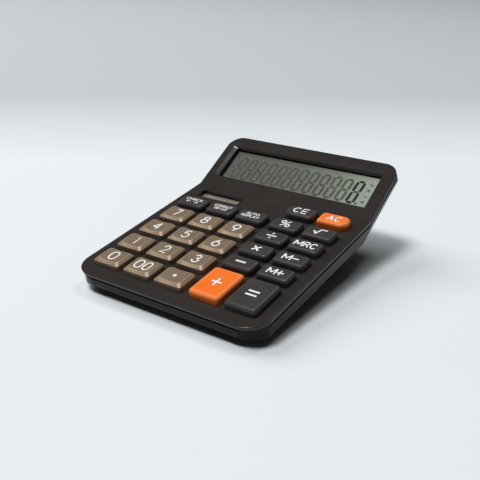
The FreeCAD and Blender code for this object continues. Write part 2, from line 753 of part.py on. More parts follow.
# Display, from the window down to the frame that holds it. The rear glass has a ledge for the flat cable.
window_margin = 2.5
glass_margin = 1.6
reflector_margin = 1.0
ledge_length = 3.0
keep(display_block("DisplayWindow", window_margin, window_bottom, "Sheet.window_thickness"), "display_window")
keep(display_block("FrontGlass", glass_margin, front_glass_bottom, "Sheet.glass_thickness"),
     "lcd_front_glass")
rear_glass = box("RearGlass", head, (0, display_middle - ledge_length / 2), rear_glass_bottom,
                 "Sheet.display_width + %s" % (2 * glass_margin),
                 "Sheet.display_height + %s" % (2 * glass_margin + ledge_length), "Sheet.glass_thickness")
keep(rear_glass, "lcd_rear_glass")
reflector_bottom = rear_glass_bottom - reflector_thickness
keep(display_block("Reflector", reflector_margin, reflector_bottom, reflector_thickness), "lcd_reflector")


def make_holder():
    # An open frame under the glass, with four ears on the posts.
    margin = 4.2
    border = 6.0
    ear_size = (6.0, 7.0)
    ear_shift = 1.5
    hole_radius = 0.85
    added = [display_block("HolderPlate", margin, holder_seat, holder_thickness)]
    low = holder_seat - overshoot
    through = holder_thickness + 2 * overshoot
    taken = [display_block("HolderPocket", -border, low, through)]
    for i, place in enumerate(holder_screw_places):
        toward = ear_shift if place[1] < display_middle else -ear_shift
        added.append(box("HolderEar%d" % i, head, (place[0], place[1] + toward), holder_seat, ear_size[0],
                         ear_size[1], holder_thickness))
        taken.append(cylinder("HolderHole%d" % i, head, place, low, hole_radius, through))
    keep(cut("Holder", fuse("HolderSolid", added), taken), "lcd_holder")


make_holder()

# Flat cable from the board up to the ledge of the rear glass.
ribbon_width = 50.0
ribbon_thickness = 0.2
ribbon_side = -16.0


def make_ribbon():
    start = 123.0
    rise_at = 131.0
    land_at = size["display_start"] - 7.2
    finish = size["display_start"] - 2.6
    low = board_top + solder_gap
    high = front_glass_bottom + solder_gap
    under = [(start, low), (rise_at, low), on_head(land_at, high), on_head(finish, high)]
    over = [on_head(finish, high + ribbon_thickness), on_head(land_at, high + ribbon_thickness),
            (rise_at, low + ribbon_thickness), (start, low + ribbon_thickness)]
    body = new_body("lcd_ribbon", deck.multiply(Placement(Vector(ribbon_side, 0, 0), Rotation())))
    pad(body, sketch_on(body, "RibbonSide", "YZ_Plane", polyline(under + over)), ribbon_width)
    keep(body, "lcd_ribbon")


make_ribbon()

# Solar strip under the deck.
solar_window_bottom = -size["wall"] - size["window_thickness"]
keep(box("SolarWindow", deck, solar_place, solar_window_bottom, "Sheet.solar_width + 4",
         "Sheet.solar_height + 3", "Sheet.window_thickness"), "solar_window")
solar_cell_thickness = 1.0
solar_cell_bottom = solar_window_bottom - layer_gap - solar_cell_thickness
keep(box("SolarCell", deck, solar_place, solar_cell_bottom, "Sheet.solar_width + 2", "Sheet.solar_height + 2",
         solar_cell_thickness), "solar_cell")


def make_keypad():
    # One rubber sheet under all keys, with a dome for each.
    main = box("SheetMain", deck, (0, 60.75), board_top, 125.0, 101.5, "Sheet.sheet_thickness")
    tongue = box("SheetTongue", deck, (40.0, 121.0), board_top, 45.0, 21.0, "Sheet.sheet_thickness")
    added = [main, tongue]
    for label, x, y, form, side in keys:
        dome = doc.addObject("Part::Cone", label + "Dome")
        bind(dome, {"Radius1": "Sheet.dome_radius", "Radius2": "Sheet.plunger_radius",
                    "Height": "Sheet.key_travel + Sheet.dome_core"})
        place = Placement(Vector(x, y, board_top + size["sheet_thickness"]), Rotation())
        dome.Placement = deck.multiply(place)
        added.append(dome)
    keep(fuse("Keypad", added), "rubber_keypad")


make_keypad()


def make_board():
    # The board, with a potted chip and a capacitor on its underside.
    hole_radius = 0.9
    plate = box("BoardPlate", deck, (0, 68.6), board_bottom, 126.0, 126.0, "Sheet.board_thickness")
    through = "Sheet.board_thickness + %s" % (2 * overshoot)
    holes = [cylinder("BoardHole%d" % i, deck, place, board_bottom - overshoot, hole_radius, through)
             for i, place in enumerate(board_screw_places)]
    keep(cut("Board", plate, holes), "circuit_board")
    for label, x, y, radius, height, edge in (
        ("chip_cover", -20.0, 60.0, 7.0, 1.3, 1.0),
        ("board_capacitor", 30.0, 78.0, 2.5, 7.0, 0.5),
    ):
        body = new_body(label, deck.multiply(Placement(Vector(x, y, board_bottom - height), Rotation())))
        can = body_cylinder(body, "Additive", label + "Can", Placement(), radius, height)
        round_edges(body, label + "Edge", can, edge, at_height(0.0))
        keep(body, label)


make_board()


def make_battery():
    # The cell lies along X with its button on the right.
    along = Rotation(Vector(0, 1, 0), 90)
    whole_length = size["cell_length"] + size["button_length"]
    left = -whole_length / 2
    button_radius = 2.75
    body = new_body("battery_cell", Placement(Vector(left, cell_y, cell_z), along))
    body_cylinder(body, "Additive", "CellCan", Placement(), "Sheet.cell_radius", "Sheet.cell_length")
    top = Placement(Vector(0, 0, size["cell_length"]), Rotation())
    body_cylinder(body, "Additive", "CellButton", top, button_radius, "Sheet.button_length")
    keep(body, "battery_cell")
    leaf = 0.4
    plate_width = 10.0
    plate_bottom = floor_top + 1.5
    plate_top = bay_roof - 1.0
    for label, side, foot, tip in (
        ("battery_plate_contact", 1, 3.0, 2.4),
        ("battery_spring_contact", -1, 4.5, 2.0),
    ):
        start = side * contact_reach
        plate = box(label + "Plate", world, (start, cell_y), plate_bottom, leaf, plate_width,
                    plate_top - plate_bottom)
        tab = box(label + "Tab", world, (start, cell_y), plate_top - merge, leaf, tab_width,
                  tab_top - plate_top + merge)
        bump = doc.addObject("Part::Cone", label + "Bump")
        bind(bump, {"Radius1": foot, "Radius2": tip, "Height": contact_reach - whole_length / 2 - solder_gap})
        bump.Placement = Placement(Vector(start, cell_y, cell_z), Rotation(Vector(0, 1, 0), -side * 90))
        keep(fuse(label + "Solid", [plate, tab, bump]), label)


make_battery()


def make_door():
    # A plate with side rails, which slides out at the back of the base.
    rail_bottom = rail_level + layer_gap
    thumb_size = (14.0, 6.0)
    thumb_shift = 4.0
    thumb_depth = 0.4
    plate = box("DoorPlate", world, (0, door_y), size["base_height"], "Sheet.door_width", "Sheet.door_length",
                rail_bottom + layer_gap)
    rails = box("DoorRails", world, (0, door_y), size["base_height"] + rail_bottom,
                "Sheet.door_width + %s" % (2 * rail_width), "Sheet.door_length",
                "Sheet.door_thickness - %s" % rail_bottom)
    thumb = box("DoorThumb", world, (0, door_y + thumb_shift), size["base_height"] - overshoot, thumb_size[0],
                thumb_size[1], thumb_depth + overshoot)
    keep(cut("Door", fuse("DoorSolid", [plate, rails]), [thumb]), "battery_door")


make_door()


def wire(points, radius):
    # A round wire: straight runs joined by tangent arcs as large as the runs allow.
    curves = []
    last = points[0]
    for before, corner, after in zip(points, points[1:], points[2:]):
        to_corner = corner - before
        from_corner = after - corner
        turn = to_corner.getAngle(from_corner)
        bend_radius = 0.45 * min(to_corner.Length, from_corner.Length) / math.tan(turn / 2)
        reach = bend_radius * math.tan(turn / 2)
        enter = corner - to_corner.normalize() * reach
        leave = corner + from_corner.normalize() * reach
        inward = (enter + leave) * 0.5 - corner
        depth = bend_radius / math.cos(turn / 2) - bend_radius
        middle = corner + inward.normalize() * depth
        curves.append(Part.LineSegment(last, enter).toShape())
        curves.append(Part.Arc(enter, middle, leave).toShape())
        last = leave
    curves.append(Part.LineSegment(last, points[-1]).toShape())
    path = Part.Wire(curves)
    ring = Part.Wire(Part.Circle(points[0], points[1] - points[0], radius).toShape())
    return path.makePipeShell([ring], True, False)


def make_leads(label, frame, routes, radius):
    # Pairs of insulated wires as one group of solids.
    item = doc.addObject("Part::Feature", label)
    item.Shape = Part.makeCompound([wire([frame.multVec(Vector(*point)) for point in route], radius)
                                    for route in routes])
    keep(item, label)


lead_radius = 0.5
solar_low = solar_cell_bottom - solder_gap
board_up = board_top + solder_gap
lead_step = (solar_low + board_up) / 2
solar_pads = (123.0, 119.0)
solar_slant = 2.5
solar_routes = []
for x in (-46.0, -52.0):
    far_x = x - solar_slant
    solar_routes.append([(x, solar_pads[0], solar_low), (x, solar_pads[0], lead_step),
                         (far_x, solar_pads[1], lead_step), (far_x, solar_pads[1], board_up)])
make_leads("solar_leads", deck, solar_routes, lead_radius)

board_under = board_bottom - solder_gap
battery_slant = (6.0, 5.0)
tab_gap = 0.2
battery_routes = []
for side in (-1, 1):
    start = deck.inverse().multVec(Vector(side * contact_reach, cell_y, tab_top + tab_gap))
    step = (start.z + board_under) / 2
    far_x = start.x - side * battery_slant[0]
    far_y = start.y - battery_slant[1]
    battery_routes.append([(start.x, start.y, start.z), (start.x, start.y, step), (far_x, far_y, step),
                           (far_x, far_y, board_under)])
make_leads("battery_leads", deck, battery_routes, lead_radius)

doc.recompute()
failed = [item.Label for item in doc.Objects if "Invalid" in item.State or "Error" in item.State]
for label, item in nodes.items():
    if item.Shape.isNull() or not item.Shape.isValid():
        failed.append(label)
if failed:
    raise RuntimeError("failed: " + ", ".join(failed))

os.makedirs("parts", exist_ok=True)
whole = FreeCAD.BoundBox()
for label, item in nodes.items():
    item.Shape.exportStep("parts/%s.step" % label)
    whole.add(item.Shape.BoundBox)
    print(label, "solids", len(item.Shape.Solids), "volume", round(item.Shape.Volume, 1))
print("nodes", len(nodes), "box", whole)
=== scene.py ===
import bpy
import bmesh
import json
import math
from mathutils import Matrix, Vector


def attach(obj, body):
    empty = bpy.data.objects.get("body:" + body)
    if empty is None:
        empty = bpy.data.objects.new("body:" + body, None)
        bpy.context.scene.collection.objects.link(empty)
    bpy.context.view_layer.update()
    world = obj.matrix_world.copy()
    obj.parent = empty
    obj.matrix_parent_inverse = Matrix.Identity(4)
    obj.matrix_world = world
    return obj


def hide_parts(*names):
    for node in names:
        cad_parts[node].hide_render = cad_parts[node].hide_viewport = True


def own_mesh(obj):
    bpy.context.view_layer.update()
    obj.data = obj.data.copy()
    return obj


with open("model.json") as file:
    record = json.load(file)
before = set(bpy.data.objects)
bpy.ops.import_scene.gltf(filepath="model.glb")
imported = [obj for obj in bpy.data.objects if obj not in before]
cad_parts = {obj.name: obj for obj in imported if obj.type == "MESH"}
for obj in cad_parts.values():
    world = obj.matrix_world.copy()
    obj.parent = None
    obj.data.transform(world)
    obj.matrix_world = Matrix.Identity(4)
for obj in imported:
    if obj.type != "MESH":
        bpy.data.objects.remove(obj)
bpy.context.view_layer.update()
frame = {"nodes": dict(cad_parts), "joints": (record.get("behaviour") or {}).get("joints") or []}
nodes = frame["nodes"]
mm = 0.001
print("frame loaded:", len(nodes), "nodes")

# The key deck and the display head each have their own axes: across, along and out of the surface.
across = Vector((1, 0, 0))
deckOut = -Vector(next(j["axis"] for j in frame["joints"] if j["name"] == "key_0_press")).normalized()
deckTurn = Matrix((across, deckOut.cross(across), deckOut)).transposed()
headTilt = 22.2  # degrees, head to deck
headTurn = deckTurn @ Matrix.Rotation(math.radians(headTilt), 3, "X")


def turnedBox(node, turn):
    back = turn.transposed()
    points = [back @ v.co for v in nodes[node].data.vertices]
    low = Vector([min(p[i] for p in points) for i in range(3)])
    high = Vector([max(p[i] for p in points) for i in range(3)])
    return low / mm, high / mm  # millimetres along the turned axes


windowLow, windowHigh = turnedBox("display_window", headTurn)
displayMiddle = (windowLow.y + windowHigh.y) / 2


def placing(turn, x, y, z):
    return turn.to_4x4() @ Matrix.Scale(mm, 4) @ Matrix.Translation((x, y, z))


# Materials

pattern = {
    "toneDetail": 4, "grainDetail": 3, "grainStrength": 0.6,
    "narrow": (0.35, 0.65), "wide": (0.3, 0.7), "whole": (0, 1),  # part of a pattern's range that a change takes
}
brushed = {"stretch": (0.05, 1, 1), "gloss": (0.25, 0.42), "depth": 0.01, "strength": 0.4}


def newMaterial(name):
    material = bpy.data.materials.new(name)
    material.use_nodes = True
    tree = material.node_tree
    return material, tree, tree.nodes["Principled BSDF"]


def objectCoords(tree, stretch=(1, 1, 1)):
    coords = tree.nodes.new("ShaderNodeTexCoord")
    mapping = tree.nodes.new("ShaderNodeMapping")
    mapping.inputs["Scale"].default_value = stretch
    tree.links.new(coords.outputs["Object"], mapping.inputs["Vector"])
    return mapping.outputs["Vector"]


def noiseField(tree, vector, scale, detail=pattern["grainDetail"]):
    field = tree.nodes.new("ShaderNodeTexNoise")
    field.inputs["Scale"].default_value = scale
    field.inputs["Detail"].default_value = detail
    tree.links.new(vector, field.inputs["Vector"])
    return field.outputs["Fac"]


def ramp(tree, factor, stops):
    node = tree.nodes.new("ShaderNodeValToRGB")
    tree.links.new(factor, node.inputs["Fac"])
    bar = node.color_ramp
    while len(bar.elements) < len(stops):
        bar.elements.new(0.5)
    for element, (place, colour) in zip(bar.elements, stops):
        element.position = place
        element.color = (*colour, 1)
    return node.outputs["Color"]


def grey(value):
    return (value, value, value)


def tones(tree, factor, span, colours):
    return ramp(tree, factor, list(zip(pattern[span], colours)))


def glossTones(tree, factor, span, gloss):
    return tones(tree, factor, span, [grey(value) for value in gloss])


def mathNode(tree, operation, *values):
    # Each value is a number or what another node gives.
    node = tree.nodes.new("ShaderNodeMath")
    node.operation = operation
    for socket, value in zip(node.inputs, values):
        if isinstance(value, bpy.types.NodeSocket):
            tree.links.new(value, socket)
        else:
            socket.default_value = value
    return node.outputs["Value"]


def alongAxis(tree, vector, axis):
    # How far a point lies along an axis.
    dot = tree.nodes.new("ShaderNodeVectorMath")
    dot.operation = "DOT_PRODUCT"
    dot.inputs[1].default_value = axis
    tree.links.new(vector, dot.inputs[0])
    return dot.outputs["Value"]


def spread(tree, value, first, last):
    # From 0 to 1 between two places.
    node = tree.nodes.new("ShaderNodeMapRange")
    node.inputs["From Min"].default_value = first
    node.inputs["From Max"].default_value = last
    tree.links.new(value, node.inputs["Value"])
    return node.outputs["Result"]


def mixColours(tree, factor, under, over):
    mix = tree.nodes.new("ShaderNodeMix")
    mix.data_type = "RGBA"
    tree.links.new(factor, mix.inputs["Factor"])
    tree.links.new(under, mix.inputs[6])  # sockets 6 and 7 are the colours, output 2 their mix
    mix.inputs[7].default_value = (*over, 1)
    return mix.outputs[2]


def bumpFrom(tree, shader, height, depth, strength):
    bump = tree.nodes.new("ShaderNodeBump")
    bump.inputs["Distance"].default_value = depth * mm
    bump.inputs["Strength"].default_value = strength
    tree.links.new(height, bump.inputs["Height"])
    tree.links.new(bump.outputs["Normal"], shader.inputs["Normal"])


def dress(tree, shader, colour, gloss, metal=0.0, specular=0.5):
    tree.links.new(colour, shader.inputs["Base Color"])
    tree.links.new(gloss, shader.inputs["Roughness"])
    shader.inputs["Metallic"].default_value = metal
    shader.inputs["Specular IOR Level"].default_value = specular


def mouldedFinish(name, spec):
    # A moulded or cast surface: two close tones, a fine grain and a little change of gloss.
    material, tree, shader = newMaterial(name)
    vector = objectCoords(tree, spec.get("stretch", (1, 1, 1)))
    tone = noiseField(tree, vector, spec["toneScale"], pattern["toneDetail"])
    grain = noiseField(tree, vector, spec["grainScale"])
    colour = tones(tree, tone, "narrow", (spec["dark"], spec["light"]))
    gloss = glossTones(tree, grain, "wide", spec["gloss"])
    dress(tree, shader, colour, gloss, spec.get("metal", 0.0), spec.get("specular", 0.5))
    bumpFrom(tree, shader, grain, spec["grainDepth"], pattern["grainStrength"])
    return material


def fleckedFinish(name, spec):
    # Key plastic: a base tone with small paler flecks, and painted light: a paler colour on its bevels and rounded
    # edges.
    material, tree, shader = newMaterial(name)
    vector = objectCoords(tree)
    fleck = tree.nodes.new("ShaderNodeTexVoronoi")
    fleck.inputs["Scale"].default_value = spec["fleckScale"]
    tree.links.new(vector, fleck.inputs["Vector"])
    split = tree.nodes.new("ShaderNodeSeparateColor")
    tree.links.new(fleck.outputs["Color"], split.inputs["Color"])
    tone = noiseField(tree, vector, spec["toneScale"])
    base = tones(tree, tone, "wide", (spec["dark"], spec["light"]))
    share = ramp(tree, split.outputs["Red"],
                 [(spec["fleckFrom"], grey(0)), (spec["fleckTo"], grey(spec["fleckMix"]))])
    flecked = mixColours(tree, share, base, spec["fleck"])
    # painted light: the paler edge colour stands in for the light that the bevels and rounded edges catch
    paintedEdgeLight = tree.nodes.new("ShaderNodeAttribute")
    paintedEdgeLight.attribute_name = "paintedEdgeLight"
    paintedEdgeMix = mixColours(tree, paintedEdgeLight.outputs["Fac"], flecked, spec["paintedEdgeColour"])
    gloss = glossTones(tree, split.outputs["Green"], "whole", spec["gloss"])
    dress(tree, shader, paintedEdgeMix, gloss, spec.get("metal", 0.0), spec.get("specular", 0.5))
    bumpFrom(tree, shader, split.outputs["Blue"], spec["grainDepth"], spec["grainStrength"])
    return material


def brushedFinish(name, spec):
    # Drawn or plated metal with fine lines along X.
    material, tree, shader = newMaterial(name)
    lines = noiseField(tree, objectCoords(tree, brushed["stretch"]), spec["lineScale"])
    colour = tones(tree, lines, "wide", (spec["dark"], spec["light"]))
    dress(tree, shader, colour, glossTones(tree, lines, "wide", brushed["gloss"]), metal=1.0)
    bumpFrom(tree, shader, lines, brushed["depth"], brushed["strength"])
    return material


def clearFinish(name, spec):
    # A thin clear window that lets most of what lies under it through.
    material, tree, shader = newMaterial(name)
    haze = noiseField(tree, objectCoords(tree), spec["hazeScale"])
    tree.links.new(glossTones(tree, haze, "narrow", spec["gloss"]), shader.inputs["Roughness"])
    shader.inputs["Base Color"].default_value = (*spec["tint"], 1)
    shader.inputs["Alpha"].default_value = spec["alpha"]
    return material


def displayFinish(name, spec):
    # The grey-green face of the display inside a black printed border, with painted light that makes it paler
    # towards its +X end.
    material, tree, shader = newMaterial(name)
    vector = objectCoords(tree)
    places = [alongAxis(tree, vector, axis) for axis in (across, headTurn.col[1])]
    # painted light: 0 at the -X end of the face, 1 at the +X end
    paintedLightRamp = spread(tree, places[0], -spec["reach"] * mm, spec["reach"] * mm)
    cloud = noiseField(tree, vector, spec["cloudScale"])
    face = ramp(tree, mathNode(tree, "MULTIPLY_ADD", cloud, spec["cloud"], paintedLightRamp), spec["stops"])
    within = [mathNode(tree, "COMPARE", place, middle * mm, half * mm)
              for place, middle, half in zip(places, spec["middle"], spec["half"])]
    outside = mathNode(tree, "SUBTRACT", 1.0, mathNode(tree, "MINIMUM", *within))
    tree.links.new(mixColours(tree, outside, face, spec["border"]), shader.inputs["Base Color"])
    shader.inputs["Roughness"].default_value = spec["gloss"]
    return material


def solarFinish(name, spec):
    # Strips with thin darker lines between them.
    material, tree, shader = newMaterial(name)
    vector = objectCoords(tree)
    step = mathNode(tree, "PINGPONG", alongAxis(tree, vector, across), spec["strip"] * mm / 2)
    line = mathNode(tree, "LESS_THAN", step, spec["line"] * mm / 2)
    tone = noiseField(tree, vector, spec["toneScale"], pattern["toneDetail"])
    base = tones(tree, tone, "narrow", (spec["dark"], spec["light"]))
    tree.links.new(mixColours(tree, line, base, spec["lines"]), shader.inputs["Base Color"])
    shader.inputs["Roughness"].default_value = spec["gloss"]
    return material


finishes = {
    "caseUpper": mouldedFinish("caseUpper", {
        "dark": (0.0310, 0.0268, 0.0248), "light": (0.0370, 0.0321, 0.0297), "toneScale": 40,
        "grainScale": 2600, "grainDepth": 0.008, "gloss": (0.15, 0.21)}),
    "caseLower": mouldedFinish("caseLower", {
        "dark": (0.0040, 0.0040, 0.0045), "light": (0.0055, 0.0055, 0.0061), "toneScale": 40,
        "grainScale": 2200, "grainDepth": 0.004, "gloss": (0.13, 0.18), "specular": 0.17}),
    "keyTan": fleckedFinish("keyTan", {
        "dark": (0.255, 0.186, 0.126), "light": (0.290, 0.212, 0.143), "toneScale": 90,
        "fleck": (0.40, 0.31, 0.22), "fleckScale": 3200, "fleckFrom": 0.55, "fleckTo": 0.95, "fleckMix": 0.4,
        "gloss": (0.46, 0.54), "grainDepth": 0.010, "grainStrength": 0.35, "metal": 0.4,
        # painted light: the last colour here is laid on the key's bevels and rounded edges
        "paintedEdgeColour": (0.37, 0.272, 0.187)}),
    "keyDark": fleckedFinish("keyDark", {
        "dark": (0.045, 0.0415, 0.0403), "light": (0.057, 0.0526, 0.0512), "toneScale": 90,
        "fleck": (0.24, 0.23, 0.22), "fleckScale": 2600, "fleckFrom": 0.88, "fleckTo": 1.0, "fleckMix": 0.2,
        "gloss": (0.24, 0.40), "grainDepth": 0.02, "grainStrength": 0.4, "specular": 0.35,
        # painted light: the last colour here is laid on the key's bevels and rounded edges
        "paintedEdgeColour": (0.058, 0.054, 0.053)}),
    "keyOrange": fleckedFinish("keyOrange", {
        "dark": (0.94, 0.180, 0.022), "light": (0.98, 0.205, 0.030), "toneScale": 60,
        "fleck": (0.96, 0.22, 0.04), "fleckScale": 3000, "fleckFrom": 0.6, "fleckTo": 1.0, "fleckMix": 0.25,
        "gloss": (0.30, 0.38), "grainDepth": 0.008, "grainStrength": 0.3, "specular": 0.35,
        # painted light: the last colour here is laid on the key's bevels and rounded edges
        "paintedEdgeColour": (0.99, 0.26, 0.06)}),
    "keyPrint": mouldedFinish("keyPrint", {
        "dark": (0.88, 0.87, 0.85), "light": (0.94, 0.93, 0.91), "toneScale": 300, "grainScale": 4000,
        "grainDepth": 0.004, "gloss": (0.40, 0.55)}),
    "clearWindow": clearFinish("clearWindow", {
        "tint": (0.03, 0.034, 0.032), "hazeScale": 60, "gloss": (0.03, 0.07), "alpha": 0.06}),
    "displayFace": displayFinish("displayFace", {
        "reach": 61, "cloudScale": 25, "cloud": 0.06, "gloss": 0.25, "border": (0.006, 0.007, 0.007),
        "middle": (0, displayMiddle - 0.1), "half": (61.1, 14.6),
        # painted light: the stops grow paler from the -X end of the face to the +X end
        "stops": [(0.0, (0.145, 0.149, 0.130)), (0.5, (0.180, 0.195, 0.162)), (0.76, (0.255, 0.28, 0.23)),
                  (1.0, (0.42, 0.48, 0.40))]}),
    "segmentGhost": mouldedFinish("segmentGhost", {
        "dark": (0.086, 0.092, 0.077), "light": (0.108, 0.116, 0.096), "toneScale": 45, "grainScale": 900,
        "grainDepth": 0.001, "gloss": (0.25, 0.30)}),
    "segmentLit": mouldedFinish("segmentLit", {
        "dark": (0.006, 0.009, 0.009), "light": (0.011, 0.015, 0.015), "toneScale": 200, "grainScale": 900,
        "grainDepth": 0.001, "gloss": (0.25, 0.30)}),
    "solarCell": solarFinish("solarCell", {
        "dark": (0.290, 0.272, 0.218), "light": (0.345, 0.324, 0.262), "lines": (0.10, 0.09, 0.07),
        "toneScale": 120, "strip": 9.6, "line": 0.25, "gloss": 0.3}),
    "reflector": mouldedFinish("reflector", {
        "dark": (0.50, 0.54, 0.47), "light": (0.58, 0.62, 0.55), "toneScale": 200, "grainScale": 3000,
        "grainDepth": 0.01, "gloss": (0.35, 0.5), "metal": 0.6}),
    "holderPlastic": mouldedFinish("holderPlastic", {
        "dark": (0.45, 0.45, 0.43), "light": (0.55, 0.55, 0.52), "toneScale": 60, "grainScale": 1800,
        "grainDepth": 0.02, "gloss": (0.45, 0.55)}),
    "ribbonFilm": mouldedFinish("ribbonFilm", {
        "dark": (0.42, 0.27, 0.08), "light": (0.62, 0.46, 0.22), "toneScale": 1500, "stretch": (1, 0.02, 0.02),
        "grainScale": 1500, "grainDepth": 0.01, "gloss": (0.3, 0.4)}),
    "footRubber": mouldedFinish("footRubber", {
        "dark": (0.018, 0.018, 0.018), "light": (0.028, 0.028, 0.028), "toneScale": 200, "grainScale": 1600,
        "grainDepth": 0.03, "gloss": (0.75, 0.9)}),
    "keypadRubber": mouldedFinish("keypadRubber", {
        "dark": (0.50, 0.50, 0.48), "light": (0.60, 0.60, 0.58), "toneScale": 80, "grainScale": 1200,
        "grainDepth": 0.02, "gloss": (0.6, 0.75)}),
    "boardLaminate": mouldedFinish("boardLaminate", {
        "dark": (0.20, 0.115, 0.035), "light": (0.30, 0.18, 0.065), "toneScale": 500, "stretch": (1, 0.2, 1),
        "grainScale": 1500, "grainDepth": 0.01, "gloss": (0.4, 0.55)}),
    "chipResin": mouldedFinish("chipResin", {
        "dark": (0.008, 0.008, 0.008), "light": (0.014, 0.014, 0.014), "toneScale": 200, "grainScale": 600,
        "grainDepth": 0.05, "gloss": (0.12, 0.25)}),
    "capacitorCan": brushedFinish("capacitorCan", {
        "dark": (0.42, 0.43, 0.45), "light": (0.58, 0.59, 0.61), "lineScale": 1500}),
    "cellJacket": mouldedFinish("cellJacket", {
        "dark": (0.30, 0.32, 0.34), "light": (0.36, 0.38, 0.40), "toneScale": 40, "grainScale": 900,
        "grainDepth": 0.005, "gloss": (0.2, 0.3), "metal": 0.5}),
    "contactSteel": brushedFinish("contactSteel", {
        "dark": (0.50, 0.50, 0.48), "light": (0.68, 0.68, 0.66), "lineScale": 1800}),
    "screwSteel": brushedFinish("screwSteel", {
        "dark": (0.40, 0.40, 0.40), "light": (0.58, 0.58, 0.58), "lineScale": 2200}),
    "leadInsulation": mouldedFinish("leadInsulation", {
        "dark": (0.40, 0.03, 0.02), "light": (0.50, 0.05, 0.04), "toneScale": 150, "grainScale": 1500,
        "grainDepth": 0.01, "gloss": (0.35, 0.5)}),
}
print("finishes made:", len(finishes))


# Pieces

creaseAngle = {"case": 32, "key": 38}  # degrees, edges that turn more stay sharp
mergeGap = 0.002 * mm
nearly = 1e-3  # mm, for finding edges and points by their height
cutGap = 1e-5  # mm, points this near to a cut are taken to lie on it


def addObject(name, data):
    made = bpy.data.objects.new(name, data)
    bpy.context.scene.collection.objects.link(made)
    return made


def addPiece(name, bm, body, finish, replaced=None):
    mesh = bpy.data.meshes.new(name)
    bm.to_mesh(mesh)
    bm.free()
    mesh.materials.append(finishes[finish])
    piece = addObject(name, mesh)
    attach(piece, body)
    if replaced:
        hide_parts(replaced)
    return piece


def everything(bm):
    return bm.verts[:] + bm.edges[:] + bm.faces[:]


def mergedCopy(node):
    bm = bmesh.new()
    bm.from_mesh(nodes[node].data)
    bmesh.ops.remove_doubles(bm, verts=bm.verts, dist=mergeGap)
    return bm


def shadeByAngle(bm, limit):
    for face in bm.faces:
        face.smooth = True
    for edge in bm.edges:
        edge.smooth = edge.is_manifold and edge.calc_face_angle(math.pi) < math.radians(limit)


def roundOff(bm, edges, radius, segments):
    bmesh.ops.bevel(bm, geom=edges, offset=radius, affect="EDGES", segments=segments, profile=0.5, material=-1)


def smoothNode(node, body, finish):
    # The CAD solid with its facets joined, so that its roundings shade as roundings.
    bm = mergedCopy(node)
    shadeByAngle(bm, creaseAngle["case"])
    addPiece(node + "_finish", bm, body, finish, node)


recess = {
    "windowDrop": 2.6, "slopeDrop": 1.0, "reach": (67.3, 17.3), "edgeRound": 0.25, "edgeCuts": 3,
    "flatAngle": 0.5, "edgeAngle": 6, "levelGap": 0.02,
}


def finishUpperCase():
    # The upper case with the edges of the slope round its display softened.
    bm = mergedCopy("upper_case")
    bmesh.ops.dissolve_limit(bm, angle_limit=math.radians(recess["flatAngle"]), verts=bm.verts, edges=bm.edges)
    back = headTurn.transposed()
    rimLevel = windowHigh.z + recess["windowDrop"]
    levels = [rimLevel, rimLevel - recess["slopeDrop"]]

    def onSlope(v):
        place = back @ v.co / mm
        inside = abs(place.x) < recess["reach"][0] and abs(place.y - displayMiddle) < recess["reach"][1]
        return next((level for level in levels if inside and abs(place.z - level) < recess["levelGap"]), None)

    def isRim(edge):
        first, last = (onSlope(v) for v in edge.verts)
        turned = edge.is_manifold and edge.calc_face_angle() > math.radians(recess["edgeAngle"])
        return turned and first is not None and first == last

    rims = [edge for edge in bm.edges if isRim(edge)]
    roundOff(bm, rims, recess["edgeRound"] * mm, recess["edgeCuts"])
    print("display slope edges softened:", len(rims))
    shadeByAngle(bm, creaseAngle["case"])
    addPiece("upper_case_finish", bm, "case", "caseUpper", "upper_case")


def paintNode(node, finish):
    mesh = nodes[node].data
    mesh.materials.clear()
    mesh.materials.append(finishes[finish])


smoothNodes = {
    "lower_case": "caseLower", "foot_front_left": "footRubber", "foot_front_right": "footRubber",
    "foot_rear_left": "footRubber", "foot_rear_right": "footRubber",
    "case_screws": "screwSteel", "battery_cell": "cellJacket",
}
paintedNodes = {
    "display_window": "clearWindow", "solar_window": "clearWindow", "lcd_front_glass": "displayFace",
    "lcd_rear_glass": "displayFace", "lcd_reflector": "reflector", "lcd_holder": "holderPlastic",
    "lcd_ribbon": "ribbonFilm", "solar_cell": "solarCell", "circuit_board": "boardLaminate",
    "chip_cover": "chipResin", "board_capacitor": "capacitorCan",
    "battery_plate_contact": "contactSteel", "battery_spring_contact": "contactSteel",
    "board_screws": "screwSteel", "holder_screws": "screwSteel", "solar_leads": "leadInsulation",
    "battery_leads": "leadInsulation",
}
for node, finish in smoothNodes.items():
    smoothNode(node, "case", finish)
finishUpperCase()
smoothNode("battery_door", "battery_door", "caseLower")
for node, finish in paintedNodes.items():
    paintNode(node, finish)
print("solids finished:", len(smoothNodes) + 2, "smoothed,", len(paintedNodes), "painted")

# Keys

keyCap = {
    "flangeOut": 0.7, "flangeThick": 0.9, "numeralCorner": 1.9, "barCorner": 2.8, "endRound": 6.0, "cornerCuts": 8,
    "shoulderDrop": 1.85, "sideBevel": 2.25, "frontBevel": 2.3, "backBevel": 1.2, "topCorner": 2.6,
    "dish": 0.8, "dishCuts": 14, "rimRound": 0.45, "rimCuts": 4, "shoulderRound": 0.4, "shoulderCuts": 3,
    # The painted light on a key's edges covers a share of a bar key's rounding and stops an inset short of a
    # numeral's flat top.
    "barRound": 2.3, "barCuts": 6, "barPaintedLight": 0.6, "paintedLightInset": 0.4, "wall": 1.5, "roof": 1.5,
    "post": 2.5, "postBite": 0.3, "postSides": 24,
}
numerals = ["key_%d" % i for i in range(10)] + ["key_00", "key_point"]
orangeKeys = ["key_plus", "key_ac"]
roundEnds = {"key_ce": -1, "key_ac": 1}  # which end is round


